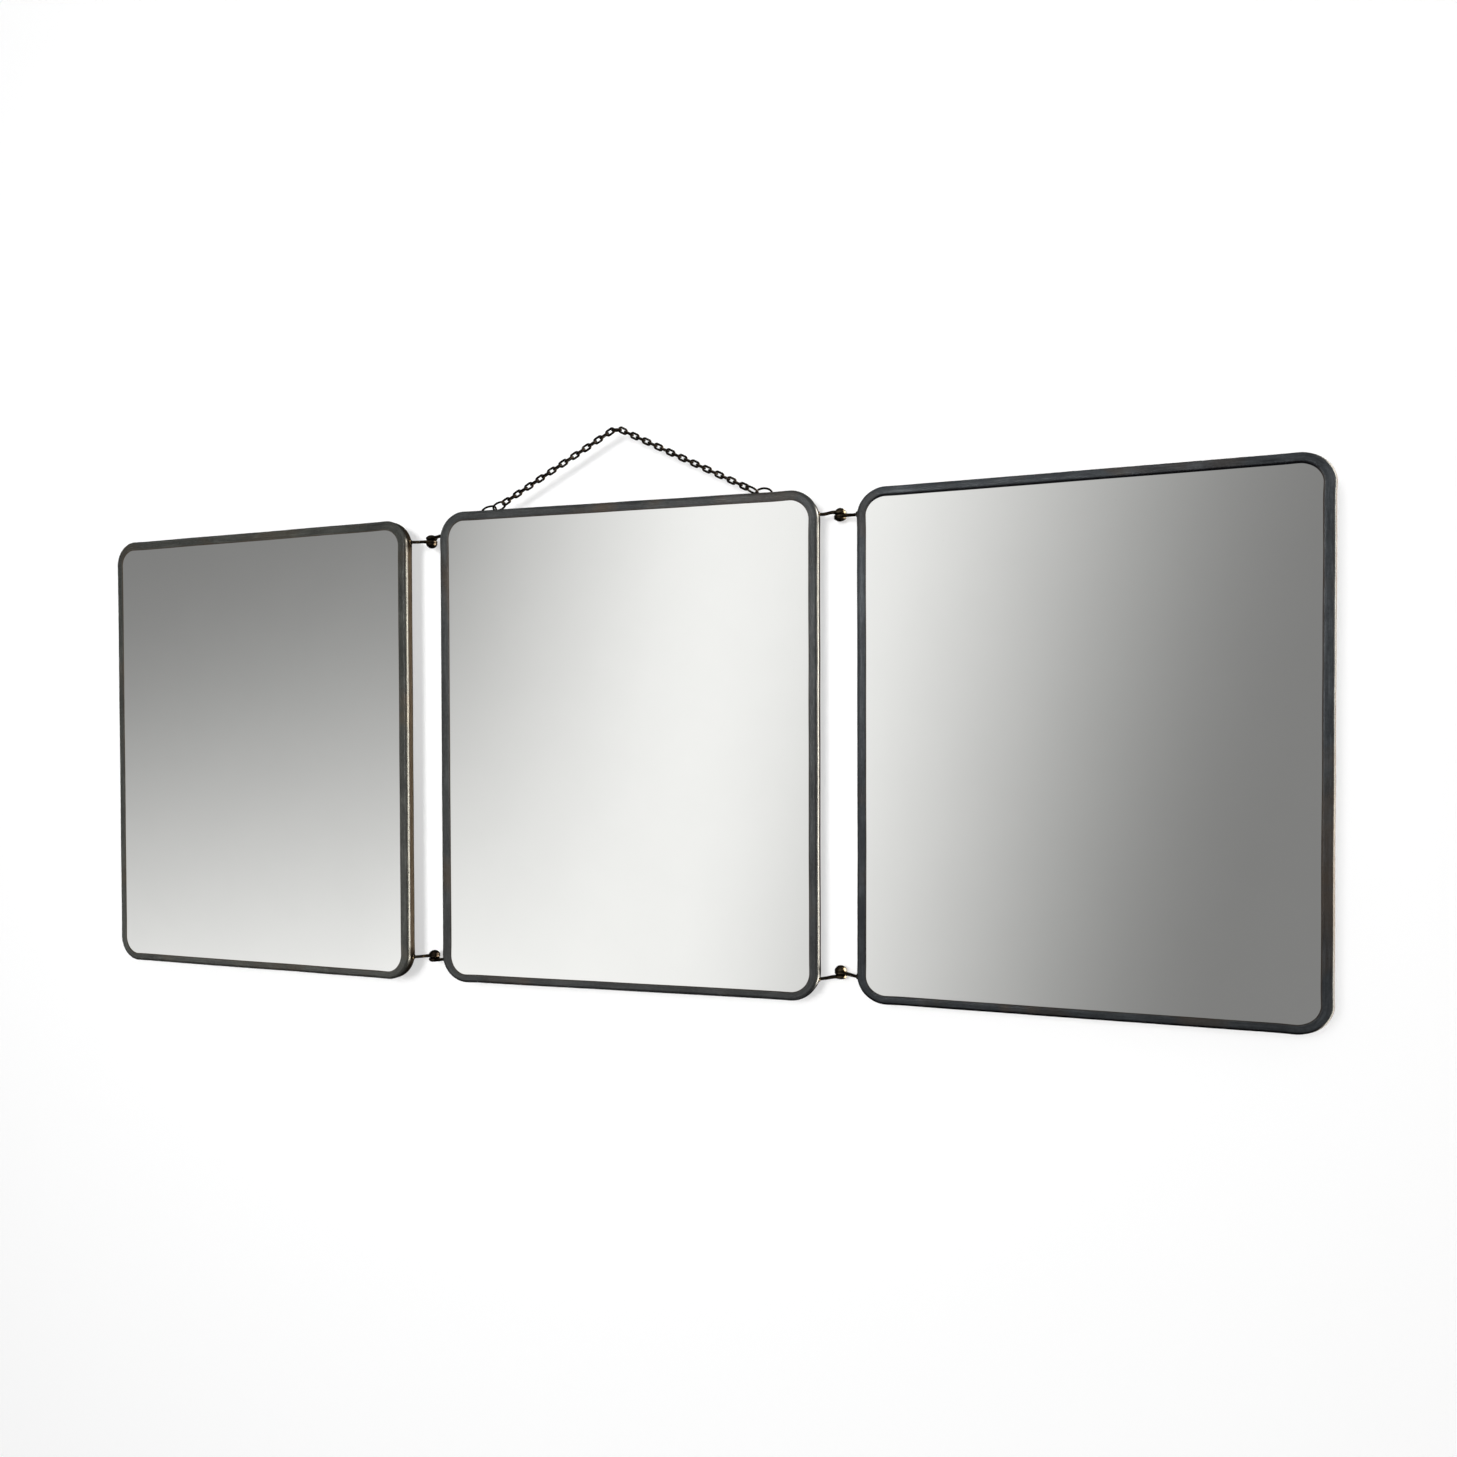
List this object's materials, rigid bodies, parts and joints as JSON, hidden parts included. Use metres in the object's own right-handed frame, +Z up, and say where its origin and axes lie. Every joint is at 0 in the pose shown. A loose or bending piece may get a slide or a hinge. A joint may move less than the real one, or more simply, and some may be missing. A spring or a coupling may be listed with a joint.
{
  "type": "trifold mirror",
  "caption": "Wall-hung trifold mirror: rounded panels in a sheet metal channel, side wings on riveted arm hinges, hung by a link chain.",
  "frame": {"origin": "the point where the nail carries the apex link of the chain", "axes": "+X to the right along the panels, +Y into the wall, +Z up; the mirrors look towards -Y"},
  "size_m": [0.781, 0.0435, 0.349],
  "materials": {
    "nickelled_channel": "aged dark nickel over thin sheet",
    "nickelled_collar": "aged dark nickel",
    "silvered_glass": "plain silvered plate glass",
    "grey_board": "plain grey board",
    "zinc_sheet": "dull zinc sheet",
    "browned_brass": "browned, bare on the edges",
    "browned_rivet": "dark browned",
    "iron_wire": "blackened wire",
    "iron_chain": "blackened wire"
  },
  "bodies": {
    "hanger": {"apex_link": "iron_chain", "left_chain_run": "iron_chain", "right_chain_run": "iron_chain", "left_end_ring": "iron_wire", "right_end_ring": "iron_wire"},
    "centre_panel": {"centre_frame": "nickelled_channel", "centre_mirror_glass": "silvered_glass", "centre_backing_board": "grey_board", "centre_rear_cover": "zinc_sheet", "centre_hinge_collars": "nickelled_collar", "left_hanging_loop": "iron_wire", "right_hanging_loop": "iron_wire", "left_upper_hinge_centre_arm": "browned_brass", "left_upper_hinge_rivet": "browned_rivet", "left_lower_hinge_centre_arm": "browned_brass", "left_lower_hinge_rivet": "browned_rivet", "right_upper_hinge_centre_arm": "browned_brass", "right_upper_hinge_rivet": "browned_rivet", "right_lower_hinge_centre_arm": "browned_brass", "right_lower_hinge_rivet": "browned_rivet"},
    "left_wing": {"left_frame": "nickelled_channel", "left_mirror_glass": "silvered_glass", "left_backing_board": "grey_board", "left_rear_cover": "zinc_sheet", "left_hinge_collars": "nickelled_collar", "left_upper_hinge_wing_arm": "browned_brass", "left_lower_hinge_wing_arm": "browned_brass"},
    "right_wing": {"right_frame": "nickelled_channel", "right_mirror_glass": "silvered_glass", "right_backing_board": "grey_board", "right_rear_cover": "zinc_sheet", "right_hinge_collars": "nickelled_collar", "right_upper_hinge_wing_arm": "browned_brass", "right_lower_hinge_wing_arm": "browned_brass"}
  },
  "joints": [
    {"name": "panel_tilt", "type": "hinge", "parent": "hanger", "child": "centre_panel", "pos_m": [0, 0, -0.04285], "axis": [-1, 0, 0], "range_deg": [0, 35]},
    {"name": "left_wing_fold", "type": "hinge", "parent": "centre_panel", "child": "left_wing", "pos_m": [-0.13105, 0.0068, -0.19525], "axis": [0, 0, 1], "range_deg": [-111, 90]},
    {"name": "right_wing_fold", "type": "hinge", "parent": "centre_panel", "child": "right_wing", "pos_m": [0.13745, 0.0068, -0.19525], "axis": [0, 0, -1], "range_deg": [-119, 82]}
  ]
}
